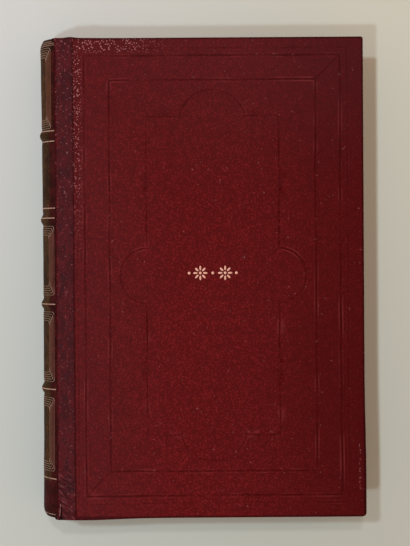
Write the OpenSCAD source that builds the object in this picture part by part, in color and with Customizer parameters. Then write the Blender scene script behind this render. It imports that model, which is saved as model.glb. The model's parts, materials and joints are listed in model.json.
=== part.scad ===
/* [Covers] */
// Height of the covers, from head to tail
cover_h = 228; // [205:1:250]
// Width of a cover, from the joint crease to the fore-edge
cover_w = 146.5; // [130:0.5:165]
// Thickness of a millboard
board_t = 2.6; // [2:0.1:3.5]
// Thickness of the cloth and of the pared leather on the boards
covering_t = 0.6; // [0.5:0.05:0.7]
// Width of the leather on each cover, from the joint crease to the cloth
strip_w = 8.6; // [6:0.1:11]
// Radius of the rounding along the covers' outer edges
edge_r = 1; // [0.8:0.1:1.4]
// Radius of the covers' outer corners in plan
corner_r = 1.6; // [1.2:0.1:3]
// Width of the turn-ins inside the covers
turn_in = 15; // [10:1:20]
// Border of turn-in left bare around the pastedown
paste_border = 4; // [2:0.5:8]

/* [Leaves] */
// Thickness of the sewn leaves
block_t = 30.4; // [20:0.2:34]
// Distance that the covers stand out beyond the leaves
square_w = 3; // [2:0.25:5]
// Thickness of an endpaper
paper_t = 0.25; // [0.2:0.05:0.4]
// Air between the leaves and each closed cover
air_gap = 0.2; // [0.1:0.05:0.4]
// Height of each shoulder that backing turned out of the leaves
shoulder_h = 1.8; // [1.4:0.1:2]
// Number of sewing cords sunk into the back
cord_count = 5; // [3:1:7]
// Distance between two sewing cords
cord_spacing = 42; // [20:1:42]
// Width of a sewing cord in its saw kerf
cord_w = 1.8; // [1:0.1:3]
// Depth of a saw kerf
cord_d = 1.6; // [1:0.1:2]
// Diameter of an endband
endband_d = 2.2; // [1.6:0.1:2.4]
// How far an endband's roll is pressed down onto the leaves
endband_sink = 0.4; // [0.3:0.05:0.6]

/* [Spine] */
// How far the spine bulges beyond the joint crease, between the bands
spine_round = 7.5; // [6.5:0.1:9]
// Thickness of the spine leather
leather_t = 0.8; // [0.6:0.1:1]
// Thickness of each wall of the paper tube, and of the hollow inside it
tube_wall = 0.4; // [0.3:0.05:0.4]
// Thickness of the lining glued to the back of the leaves
lining_t = 0.4; // [0.3:0.05:0.5]
// Number of raised bands
band_count = 4; // [2:1:4]
// Distance between two raised bands
band_spacing = 40.4; // [30:0.1:42]
// Height of the uppermost band above the middle of the spine
top_band_y = 68.5; // [60:0.5:75]
// Width of a band under the leather
band_w = 4.2; // [3:0.1:5]
// How far a band stands out of the spine
band_rise = 0.95; // [0.6:0.05:1.2]
// Width of the caps that close the spine at head and tail
cap_w = 3.6; // [3:0.1:4]
// Radius of the rounding where the leather turns over the spine's ends
cap_r = 1; // [0.9:0.1:1.4]
// How far the leather is turned in at head and tail of the spine
spine_turn_in = 12; // [8:1:20]

/* [Blind stamping] */
// Width of a stamped line
line_w = 0.8; // [0.5:0.1:1.2]
// Depth of a stamped line
line_d = 0.35; // [0.15:0.05:0.4]
// Outer frame's distance from the head edge
frame_head = 8.1; // [7:0.1:12]
// Outer frame's distance from the tail edge
frame_tail = 10.2; // [7:0.1:12]
// Outer frame's distance from the fore-edge
frame_fore = 10.7; // [7:0.1:13]
// Outer frame's distance from the joint crease
frame_joint = 13.8; // [13.6:0.1:16]
// Distance from the outer frame to the line outside it
double_gap = 3.5; // [2.5:0.1:4]
// Distance from the outer frame to the inner frame
inner_inset = 11.6; // [9:0.1:13]
// Distance from the inner frame to the panel, at its sides
panel_side = 17.5; // [15:0.1:20]
// Distance from the inner frame to the panel, at its ends
panel_end = 17.3; // [15:0.1:20]
// How far the round lobes stand out of the panel
lobe_out = 12.6; // [10:0.1:13]
// Half the opening of a lobe in the panel's ends
lobe_end = 15.5; // [13.5:0.1:17]
// Half the opening of a lobe in the panel's sides
lobe_side = 13; // [12.6:0.1:16]

/* [Wear] */
// Length of the split in the front joint at the tail
split_l = 6; // [2:0.5:12]
// Width of that split at the tail edge
split_w = 1.2; // [0.6:0.1:2]

/* [Hidden] */
$fn = 96;
margin = 20;

// The book lies on its back cover: X runs from the spine to the fore-edge, Y from tail to head,
// Z up. Heights below are measured from the mid-plane of the leaves, where the book is symmetric.
block_z = block_t / 2;
paste_z = block_z + paper_t + air_gap;
board_z = paste_z + paper_t;
cover_z = board_z + board_t + covering_t;
book_w = cover_w + spine_round + band_rise;
fore_x = book_w / 2;
joint_x = fore_x - cover_w;
head_y = cover_h / 2;
leaf_y = head_y - square_w;

// The back is an arc from joint to joint, with every layer of the spine around one centre. Its
// edges stay a little below the covers, so that an opened cover swings clear of them.
tip_drop = 0.5;
tip_z = cover_z - tip_drop;
back_r = (tip_z * tip_z + spine_round * spine_round) / (2 * spine_round);
arc_x = joint_x + back_r - spine_round;
half_angle = asin(tip_z / back_r);
leather_in_r = back_r - leather_t;
hollow_out_r = leather_in_r - tube_wall;
hollow_in_r = hollow_out_r - tube_wall;
lining_r = hollow_in_r - tube_wall;
block_r = lining_r - lining_t;

// The shoulder is the ridge between the leaves and the board's inner edge.
shoulder_z = block_z + shoulder_h;
shoulder_x = arc_x - sqrt(block_r * block_r - shoulder_z * shoulder_z);
board_x = shoulder_x + 0.35;
shoulder_lean = 0.3;
leaf_x = board_x + 0.1;
leaf_fore_x = fore_x - square_w - 0.5;
block_angle = asin(shoulder_z / block_r);
hollow_angle = block_angle - 1.5;

// The endbands and the caps stay clear of the boards' inner corners.
endband_angle = atan2(board_z, arc_x - board_x) - 1.3;
corner_gap = 0.4;

// A band stands highest over the middle of the spine and sinks towards the joints, because it is
// turned around an axis that is set off from the centre of the back.
band_crown = back_r + band_rise;
joint_crown = back_r + band_rise / 4;
band_off = (band_crown * band_crown - joint_crown * joint_crown)
    / (2 * (band_crown - joint_crown * cos(half_angle)));
band_angle = half_angle + 2.5;
band_arc = ((band_w / 2) * (band_w / 2) + band_rise * band_rise) / (2 * band_rise);

strip_x = joint_x + 0.5;
cloth_x = joint_x + strip_w;
split_x = joint_x + 2.9;

frame_x0 = joint_x + frame_joint;
frame_x1 = fore_x - frame_fore;
frame_y0 = -head_y + frame_tail;
frame_y1 = head_y - frame_head;

function band_y(i) = top_band_y - (i - 1) * band_spacing;
function cord_y(i) = ((cord_count + 1) / 2 - i) * cord_spacing;
function lobe_r(half_opening) =
    (half_opening * half_opening + lobe_out * lobe_out) / (2 * lobe_out);

// Stands the whole book on the plane Z = 0.
module at_rest() {
    translate([0, 0, cover_z]) children();
}

// Extrudes a section drawn in X and Z along the book's height.
module along_height(length) {
    rotate([90, 0, 0]) linear_extrude(length, center = true) children();
}

// Turns a section drawn in radius and Y around the axis of the rounded back.
module around_back(angle) {
    translate([arc_x, 0, 0])
        rotate([-90, 0, 0])
            rotate([0, 0, 180 - angle])
                rotate_extrude(angle = 2 * angle, $fn = 360)
                    children();
}

// The section of a layer of the back, from one radius and height to another.
module layer(r0, r1, y0, y1) {
    translate([r0, y0]) square([r1 - r0, y1 - y0]);
}

module box_2d(x0, x1, y0, y1) {
    translate([x0, y0]) square([x1 - x0, y1 - y0]);
}

module rounded_box_2d(x0, x1, y0, y1, r) {
    box_2d(x0 + r, x1 - r, y0, y1);
    box_2d(x0, x1, y0 + r, y1 - r);
    for (x = [x0 + r, x1 - r], y = [y0 + r, y1 - r])
        translate([x, y]) circle(r);
}

// A front cover's slab, rounded along its three free edges and drawn in by an inset.
module cover_slab(inset, z0, z1) {
    r = edge_r - inset;
    x1 = fore_x - inset;
    y1 = head_y - inset;
    intersection() {
        along_height(cover_h) intersection() {
            rounded_box_2d(board_x - margin, x1, z0, z1, r);
            box_2d(board_x, x1 + margin, z0, z1);
        }
        rotate([90, 0, 90]) translate([0, 0, board_x - margin])
            linear_extrude(cover_w + 2 * margin) rounded_box_2d(-y1, y1, z0, z1, r);
        translate([0, 0, z0 - margin]) linear_extrude(z1 - z0 + 2 * margin)
            rounded_box_2d(board_x - margin, x1, -y1, y1, corner_r - inset);
    }
}

// The millboard, with a step around its inner face that the turn-ins fill.
module millboard() {
    cover_slab(covering_t, board_z + covering_t, board_z + board_t);
    translate([board_x, -head_y + turn_in, board_z])
        cube([fore_x - turn_in - board_x, cover_h - 2 * turn_in, covering_t + 0.5]);
}

// The covering over a whole board: its outer face, three edges and turn-ins.
module covering() {
    difference() {
        cover_slab(0, board_z, cover_z);
        millboard();
    }
}

// One stamped line around a plain frame.
module frame_line(x0, x1, y0, y1) {
    difference() {
        box_2d(x0, x1, y0, y1);
        box_2d(x0 + line_w, x1 - line_w, y0 + line_w, y1 - line_w);
    }
}

// The panel with a round lobe on each side, drawn in by an inset.
module lobed_panel(inset) {
    x0 = frame_x0 + inner_inset + panel_side + inset;
    x1 = frame_x1 - inner_inset - panel_side - inset;
    y0 = frame_y0 + inner_inset + panel_end + inset;
    y1 = frame_y1 - inner_inset - panel_end - inset;
    mid_x = (x0 + x1) / 2;
    mid_y = (y0 + y1) / 2;
    end_r = lobe_r(lobe_end) - inset;
    side_r = lobe_r(lobe_side) - inset;
    box_2d(x0, x1, y0, y1);
    for (y = [y0 - lobe_out + end_r, y1 + lobe_out - end_r])
        translate([mid_x, y]) circle(end_r);
    for (x = [x0 - lobe_out + side_r, x1 + lobe_out - side_r])
        translate([x, mid_y]) circle(side_r);
}

// A stamped line from a corner of the inner frame to the same corner of the outer one.
module mitre_line(x, y, turn) {
    translate([x, y]) rotate(turn)
        translate([line_w, -line_w / 2]) square([inner_inset * sqrt(2) - line_w, line_w]);
}

// All blind-stamped lines of a cover.
module stamping() {
    frame_line(frame_x0, frame_x1, frame_y0, frame_y1);
    frame_line(frame_x0 - double_gap, frame_x1 + double_gap,
        frame_y0 - double_gap, frame_y1 + double_gap);
    frame_line(frame_x0 + inner_inset, frame_x1 - inner_inset,
        frame_y0 + inner_inset, frame_y1 - inner_inset);
    difference() {
        lobed_panel(0);
        lobed_panel(line_w);
    }
    mitre_line(frame_x0, frame_y0, 45);
    mitre_line(frame_x1, frame_y0, 135);
    mitre_line(frame_x1, frame_y1, 225);
    mitre_line(frame_x0, frame_y1, 315);
}

module cloth() {
    color("#5c1a1c") difference() {
        intersection() {
            covering();
            translate([cloth_x, -cover_h, 0]) cube([cover_w, 2 * cover_h, 2 * cover_z]);
        }
        translate([0, 0, cover_z - line_d]) linear_extrude(margin) stamping();
    }
}

// The leather that runs from the joint onto the board, wrapped around its head and tail.
module joint_leather(has_split) {
    color("#4b181b") difference() {
        union() {
            intersection() {
                covering();
                translate([board_x - margin, -cover_h, 0])
                    cube([cloth_x - board_x + margin, 2 * cover_h, 2 * cover_z]);
            }
            translate([strip_x, -head_y + edge_r, cover_z - covering_t])
                cube([board_x - strip_x, cover_h - 2 * edge_r, covering_t]);
        }
        if (has_split)
            translate([split_x, -head_y, 0]) linear_extrude(2 * cover_z)
                polygon([[-split_w / 2, -1], [split_w / 2, -1], [0, split_l]]);
    }
}

module board() {
    color("#a89678") millboard();
}

module pastedown() {
    color("#d9ceb4")
        translate([board_x, -head_y + paste_border, paste_z])
            cube([fore_x - paste_border - board_x, cover_h - 2 * paste_border, paper_t]);
}

module flyleaf() {
    color("#d9ceb4")
        translate([leaf_x, -leaf_y, block_z])
            cube([leaf_fore_x - leaf_x, 2 * leaf_y, paper_t]);
}

// The sewn leaves: rounded back, two shoulders, hollow fore-edge, and the kerfs for the cords.
module text_block() {
    x0 = board_x - shoulder_lean;
    out_z = block_z + 3 * shoulder_h;
    out_x = x0 + 3 * (shoulder_x - x0);
    far_x = arc_x - 2 * back_r;
    color("#cdbf9f") difference() {
        along_height(2 * leaf_y) difference() {
            union() {
                box_2d(arc_x - margin / 4, leaf_fore_x, -block_z, block_z);
                intersection() {
                    translate([arc_x, 0]) circle(block_r, $fn = 360);
                    polygon([
                        [arc_x, block_z], [x0, block_z], [out_x, out_z], [far_x, out_z],
                        [far_x, -out_z], [out_x, -out_z], [x0, -block_z], [arc_x, -block_z]
                    ]);
                }
            }
            translate([leaf_fore_x + sqrt(block_r * block_r - block_z * block_z), 0])
                circle(block_r, $fn = 360);
        }
        for (i = [1:cord_count]) sunk_cord(i);
    }
}

module sunk_cord(i) {
    around_back(block_angle - 3)
        layer(block_r - cord_d, block_r, cord_y(i) - cord_w / 2, cord_y(i) + cord_w / 2);
}

module sewing_cord(i) {
    color("#b8a888") sunk_cord(i);
}

// An endband: a worked roll that follows the back of the leaves, flat where it sits on them.
module endband() {
    color("#8c3a34") around_back(endband_angle) intersection() {
        translate([block_r - endband_d / 2, leaf_y + endband_d / 2 - endband_sink])
            circle(endband_d / 2);
        layer(0, back_r, leaf_y, head_y);
    }
}

module spine_lining() {
    color("#8f8468") around_back(block_angle) layer(block_r, lining_r, -leaf_y, leaf_y);
}

// The paper tube that lets the leather spring away from the leaves: two walls, joined at the sides.
module spine_tube() {
    color("#9a8560") {
        around_back(block_angle) layer(lining_r, hollow_in_r, -leaf_y, leaf_y);
        around_back(block_angle)
            layer(hollow_out_r, leather_in_r, -head_y + leather_t, head_y - leather_t);
        for (side = [-1, 1]) tube_fold(side);
    }
}

// One side of the tube, where the paper folds from the inner wall to the outer one.
module tube_fold(side) {
    turn = side * (block_angle + hollow_angle) / 2;
    translate([arc_x, 0, 0]) rotate([0, turn, 0]) translate([-arc_x, 0, 0])
        around_back((block_angle - hollow_angle) / 2) layer(lining_r, leather_in_r, -leaf_y, leaf_y);
}

// A band with its rounded section and sinking ends, enlarged by what lies over it.
module band(i, over) {
    difference() {
        translate([-band_off, 0, 0]) around_back(band_angle)
            translate([band_crown - leather_t - band_off - band_arc, band_y(i)])
                circle(band_arc + over);
        translate([arc_x, band_y(i), 0]) rotate([90, 0, 0])
            cylinder(h = 4 * band_w, r = leather_in_r, center = true, $fn = 360);
    }
}

module raised_band(i) {
    color("#7a5a3c") band(i, 0);
}

// One end of the spine leather: rounded over the tube's end, closed by a cap over the endband.
module cap_section() {
    difference() {
        union() {
            layer(back_r - cap_w, back_r - cap_r, head_y - leather_t, head_y);
            intersection() {
                translate([back_r - cap_r, head_y - cap_r]) circle(cap_r);
                layer(back_r - cap_r, back_r, head_y - cap_r, head_y);
            }
        }
        layer(0, leather_in_r, 0, head_y - leather_t);
    }
}

// The boards' inner corners with some room around them, which the caps are pared to.
module board_corners() {
    for (side = [0, 1]) mirror([0, 0, side])
        translate([board_x - corner_gap, -cover_h, board_z - corner_gap])
            cube([margin, 2 * cover_h, margin]);
}

// The leather of the spine, moulded over the bands and turned into the tube at both ends.
module spine_leather() {
    end_y = head_y - leather_t;
    color("#4a2f24") difference() {
        union() {
            around_back(half_angle) {
                layer(leather_in_r, back_r, -head_y + cap_r, head_y - cap_r);
                for (side = [0, 1]) mirror([0, side]) cap_section();
            }
            for (side = [0, 1]) mirror([0, side, 0]) around_back(hollow_angle)
                layer(hollow_in_r, hollow_out_r, end_y - spine_turn_in, end_y + leather_t / 2);
            for (i = [1:band_count]) band(i, leather_t);
        }
        for (i = [1:band_count]) band(i, 0);
        board_corners();
    }
}

at_rest() text_block();
at_rest() flyleaf();  // front_flyleaf
at_rest() mirror([0, 0, 1]) flyleaf();  // back_flyleaf
at_rest() sewing_cord(1);  // sewing_cord_1
at_rest() sewing_cord(2);  // sewing_cord_2
at_rest() sewing_cord(3);  // sewing_cord_3
at_rest() sewing_cord(4);  // sewing_cord_4
at_rest() sewing_cord(5);  // sewing_cord_5
at_rest() endband();  // head_endband
at_rest() mirror([0, 1, 0]) endband();  // tail_endband
at_rest() spine_lining();
at_rest() spine_tube();
at_rest() raised_band(1);  // raised_band_1
at_rest() raised_band(2);  // raised_band_2
at_rest() raised_band(3);  // raised_band_3
at_rest() raised_band(4);  // raised_band_4
at_rest() spine_leather();
at_rest() board();  // front_board
at_rest() cloth();  // front_cloth
at_rest() joint_leather(true);  // front_joint_leather
at_rest() pastedown();  // front_pastedown
at_rest() mirror([0, 0, 1]) board();  // back_board
at_rest() mirror([0, 0, 1]) cloth();  // back_cloth
at_rest() mirror([0, 0, 1]) joint_leather(false);  // back_joint_leather
at_rest() mirror([0, 0, 1]) pastedown();  // back_pastedown
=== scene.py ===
# %% [markdown]
# An antique half-leather book, lying on its back cover.
#
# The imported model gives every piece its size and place. This notebook dresses it: leather with raised
# bands on a rounded spine, gilt lines pressed into that leather, red cloth sides with blind-stamped
# lines, worked endbands, aged paper. All lengths are in metres. X runs from the spine to the
# fore-edge, Y from tail to head, Z up.

# %% Load the frame
import json
import math

import bmesh
import bpy
import numpy as np
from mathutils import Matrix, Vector, noise
from mathutils.geometry import delaunay_2d_cdt


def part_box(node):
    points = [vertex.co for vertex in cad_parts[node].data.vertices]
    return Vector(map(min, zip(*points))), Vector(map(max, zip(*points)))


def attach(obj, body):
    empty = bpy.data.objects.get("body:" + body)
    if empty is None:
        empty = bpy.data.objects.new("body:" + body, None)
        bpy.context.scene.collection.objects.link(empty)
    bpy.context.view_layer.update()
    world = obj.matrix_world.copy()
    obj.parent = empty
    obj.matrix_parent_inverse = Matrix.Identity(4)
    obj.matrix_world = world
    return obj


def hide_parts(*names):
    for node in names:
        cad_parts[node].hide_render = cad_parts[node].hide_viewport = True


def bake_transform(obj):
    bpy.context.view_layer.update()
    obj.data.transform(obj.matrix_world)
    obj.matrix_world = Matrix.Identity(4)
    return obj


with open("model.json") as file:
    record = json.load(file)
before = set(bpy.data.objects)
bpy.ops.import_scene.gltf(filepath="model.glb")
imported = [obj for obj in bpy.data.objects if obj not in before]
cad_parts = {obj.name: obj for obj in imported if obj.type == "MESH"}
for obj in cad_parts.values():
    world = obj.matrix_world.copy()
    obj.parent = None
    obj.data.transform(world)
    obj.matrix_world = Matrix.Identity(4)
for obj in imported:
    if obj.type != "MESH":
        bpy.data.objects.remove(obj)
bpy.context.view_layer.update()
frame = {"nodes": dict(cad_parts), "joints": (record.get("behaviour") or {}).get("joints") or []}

# %% [markdown]
# The driving sizes come from the frame: where the joint crease runs, how high the covers stand, where
# the cloth meets the leather. Only what the frame can't say, such as the width of a stamped line, is
# written here, in real millimetres.

# %% Sizes from the frame
MM = 0.001
PHOTO_SIZE = (410, 546)

hinge = frame["joints"][0]["pos_m"]
joint_x = hinge[0]
cover_top = hinge[2]
mid_z = cover_top / 2

cloth_lo, cloth_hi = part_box("front_cloth")
board_lo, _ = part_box("front_board")
paste_lo, paste_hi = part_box("front_pastedown")
leaf_lo, leaf_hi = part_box("front_flyleaf")
_, block_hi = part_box("text_block")
_, spine_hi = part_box("spine_leather")

cloth_x = cloth_lo[0]
fore_x = cloth_hi[0]
head_y = cloth_hi[1]
board_x = board_lo[0]
cover_under = cloth_lo[2]
print("joint at", joint_x, "cover top", cover_top, "cloth from", cloth_x, "to", fore_x)

# %% [markdown]
# The back of the book is an arc from joint to joint. Three points fix it: its two edges, a little
# below the covers, and the spine's outermost line between the bands. Every layer of the spine shares
# that arc's centre.

# %% The arc of the back
SPINE_ROUND = 7.5 * MM
LEATHER = 0.8 * MM
edge_z = spine_hi[2] - mid_z
back_r = (edge_z ** 2 + SPINE_ROUND ** 2) / (2 * SPINE_ROUND)
arc_x = joint_x + back_r - SPINE_ROUND
half_angle = math.asin(edge_z / back_r)
print("back radius", round(back_r / MM, 2), "mm, half angle", round(math.degrees(half_angle), 1))


def on_back(angle, radius, y):
    """A point around the back; the angle is 0 at mid-spine and grows towards the front joint."""
    return (arc_x - radius * math.cos(angle), y, mid_z + radius * math.sin(angle))


# %% [markdown]
# A few helpers serve every piece. A mesh is made from plain lists. A grid of points is closed into
# quads. The back cover's pieces are the front's, mirrored in the book's mid-plane, so a copy gets its
# faces turned round to point outwards again. Modifiers are applied to a plain mesh before a piece
# rides, so that nothing is left to be evaluated at a pose.

# %% Mesh helpers
def mesh_piece(name, points, faces, material=None, smooth=True):
    """An object at the origin whose place is in its mesh."""
    mesh = bpy.data.meshes.new(name)
    mesh.from_pydata([tuple(p) for p in points], [], faces)
    mesh.validate()
    obj = bpy.data.objects.new(name, mesh)
    bpy.context.scene.collection.objects.link(obj)
    for polygon in mesh.polygons:
        polygon.use_smooth = smooth
    if material:
        mesh.materials.append(material)
    return obj


def grid_faces(rows, columns, ring=False, start=0):
    """Quads between rows x columns points; ring also joins the last column to the first."""
    faces = []
    for i in range(start, start + (rows - 1) * columns, columns):
        for j in range(columns if ring else columns - 1):
            k = (j + 1) % columns
            faces.append((i + j, i + k, i + columns + k, i + columns + j))
    return faces


def clean(obj, merge=1e-6):
    """Merges doubled points and turns all faces the same way."""
    bm = bmesh.new()
    bm.from_mesh(obj.data)
    bmesh.ops.remove_doubles(bm, verts=bm.verts, dist=merge)
    bmesh.ops.dissolve_degenerate(bm, edges=bm.edges, dist=merge / 10)
    bmesh.ops.recalc_face_normals(bm, faces=bm.faces)
    bm.to_mesh(obj.data)
    bm.free()
    return obj


def facing_up(obj):
    """Turns a sheet over if its uppermost faces look down."""
    highest = sorted(obj.data.polygons, key=lambda p: p.center.z)[-50:]
    if sum(p.normal.z * p.area for p in highest) < 0:
        obj.data.flip_normals()
    return obj


def applied(obj):
    """Replaces the object's mesh by its evaluated one and drops the modifiers."""
    evaluated = obj.evaluated_get(bpy.context.evaluated_depsgraph_get())
    mesh = bpy.data.meshes.new_from_object(evaluated)
    obj.modifiers.clear()
    old = obj.data
    obj.data = mesh
    bpy.data.meshes.remove(old)
    mesh.name = obj.name
    return obj


def thickened(obj, thickness, offset=-1):
    """Gives a sheet its thickness, on its inner side unless the offset says otherwise."""
    solid = obj.modifiers.new("thickness", "SOLIDIFY")
    solid.thickness, solid.offset = thickness, offset
    return applied(obj)


def mirrored(obj, name):
    """A copy on the other cover, mirrored in the mid-plane of the leaves."""
    mesh = obj.data.copy()
    for vertex in mesh.vertices:
        vertex.co.z = 2 * mid_z - vertex.co.z
    mesh.flip_normals()
    mesh.name = name
    copy = bpy.data.objects.new(name, mesh)
    bpy.context.scene.collection.objects.link(copy)
    return copy


def set_values(obj, label, values):
    """Stores one number for each point of a mesh."""
    obj.data.attributes.new(label, "FLOAT", "POINT").data.foreach_set("value", values)


def unit(value):
    """The value, held between 0 and 1."""
    return max(0.0, min(1.0, value))


def bell(value, middle, width):
    """A soft hump of height 1."""
    return math.exp(-((value - middle) / width) ** 2)


def wander(x, y, size, seed=0.0):
    """Smooth noise from -1 to 1 that changes over about the given size."""
    return noise.noise(Vector((x / size, y / size, seed)))


# %% [markdown]
# Materials and Geometry Nodes trees are both node trees, so one small function adds a node to either.
# Whatever is given with a capital letter is one of the node's inputs, and anything else is a setting
# of the node. Colours are written as they are seen, in sRGB hex, and turned to the linear values that
# the shaders expect.

# %% Adding a node
def linear(hex_colour):
    """sRGB hex to the linear RGBA that a colour socket expects."""
    channels = [int(hex_colour[i:i + 2], 16) / 255 for i in (1, 3, 5)]
    return (*[c / 12.92 if c <= 0.04045 else ((c + 0.055) / 1.055) ** 2.4 for c in channels], 1.0)


def add(tree, kind, *values, **named):
    """Adds a node and gives its outputs.

    Values go to its first inputs, in turn. A name with a capital is an input as well, any other name
    a setting. A socket, or each one of a list, is linked.
    """
    node = tree.nodes.new(kind)
    inputs = dict(enumerate(values))
    for name, value in named.items():
        if name[0].isupper():
            inputs[name.replace("_", " ")] = value
        else:
            setattr(node, name, value)
    for key, value in inputs.items():
        if isinstance(value, (bpy.types.NodeSocket, list)):
            for source in value if isinstance(value, list) else [value]:
                tree.links.new(source, node.inputs[key])
        else:
            is_hex = isinstance(value, str) and value.startswith("#")
            node.inputs[key].default_value = linear(value) if is_hex else value
    return node.outputs


# %% [markdown]
# A finish is painted as a binder's colours are: a base, and over it layers, each only where its mask
# says. Most masks are products of smooth ramps, such as near the head and close to the leather. A
# ramp that runs from a larger value to a smaller one falls. The last layer meets the light: the
# Principled shader with its roughness and, for nearly all finishes, a bump.

# %% Masks and layers
def new_material(name):
    """A node material, its empty tree and its Object coordinates."""
    material = bpy.data.materials.new(name)
    material.use_nodes = True
    material.node_tree.nodes.clear()
    return material, material.node_tree, add(material.node_tree, "ShaderNodeTexCoord")["Object"]


def mask(tree, *ramps, share=1.0):
    """A share, times a smooth ramp from 0 to 1 for each (value, start, end)."""
    for value, start, end in ramps:
        share = add(tree, "ShaderNodeMapRange", value, start, end, 0.0, share,
                    interpolation_type="SMOOTHSTEP")[0]
    return share


def strongest(tree, first, *others):
    """The strongest of several masks at each point."""
    for other in others:
        first = add(tree, "ShaderNodeMath", first, other, operation="MAXIMUM")[0]
    return first


def paint(tree, base, layers, **shading):
    """Lays the layers over the base, one after another, and ends the tree with the shader."""
    for where, colour in layers:
        base = add(tree, "ShaderNodeMix", where, A=base, B=colour, data_type="RGBA")[2]
    shader = add(tree, "ShaderNodeBsdfPrincipled", Base_Color=base, **shading)[0]
    add(tree, "ShaderNodeOutputMaterial", shader)


# %% [markdown]
# Leather and embossed cloth share one build: pebbles from a smooth Voronoi pattern, bent a little by
# noise so that they don't look machined, over a slow mottling. Light catches the pebbles' tops, so
# the tops are lighter and the valleys between them darker, and the same pattern drives the bump. What
# differs is the pebbles' size, the colours and how shiny the surface is. Wear comes in small spots,
# which are cut out of a noise: the lower the cut, the more of the surface they cover.

# %% Pebbles and spots
def grain(tree, place, pitch, bend=0.35, seed=0.0):
    """Pebbles of a given pitch: 1 on a pebble's top, 0 in the valley around it."""
    reach = 2 * bend * pitch
    wobble = add(tree, "ShaderNodeTexNoise", Vector=place, Scale=0.6 / pitch)["Color"]
    bent = add(tree, "ShaderNodeVectorMath", wobble, (reach,) * 3, place, operation="MULTIPLY_ADD")[0]
    moved = add(tree, "ShaderNodeMapping", bent, Location=(seed - reach / 2,) * 3)[0]
    cells = add(tree, "ShaderNodeTexVoronoi", Vector=moved, Scale=1 / pitch, Smoothness=0.35,
                feature="SMOOTH_F1")["Distance"]
    return mask(tree, (cells, 0.62, 0.12))


def speckle(tree, place, size, cover, seed=3.1, share=1.0):
    """Irregular spots of about one size that cover roughly the given part of the surface."""
    moved = add(tree, "ShaderNodeMapping", place, Location=(seed, -seed, seed))[0]
    spots = add(tree, "ShaderNodeTexNoise", Vector=moved, Scale=1 / size, Detail=3.0, Roughness=0.65)[0]
    edge = 0.68 - 0.36 * cover
    return mask(tree, (spots, edge, edge + 0.06), share=share)


# %% [markdown]
# Red bookcloth. It is a woven cotton filled with starch and passed between rollers that emboss a
# pebble grain, so it has a low, regular relief and hardly any shine. Along the leather's edge near the
# head and along the head edge the tops of the grain carry pale specks, painted glints with some rubbed
# wear, and a short row of nicks lies beside the fore-edge. A pale painted sheen lies towards the spine
# and the head, painted shade grows towards the fore-edge, the cloth is darker along its outer edges,
# and a painted shadow of the leather's edge runs beside the leather. The stamped lines are darker at
# the bottom, partly burnished by the hot plate and partly painted shade, and paler on their rims,
# partly wear and partly a painted highlight. The mesh says where, in a value of its points.

# %% Material: embossed bookcloth
CLOTH_GRAIN = 1.0 * MM
RELIEF = "relief"


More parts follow.
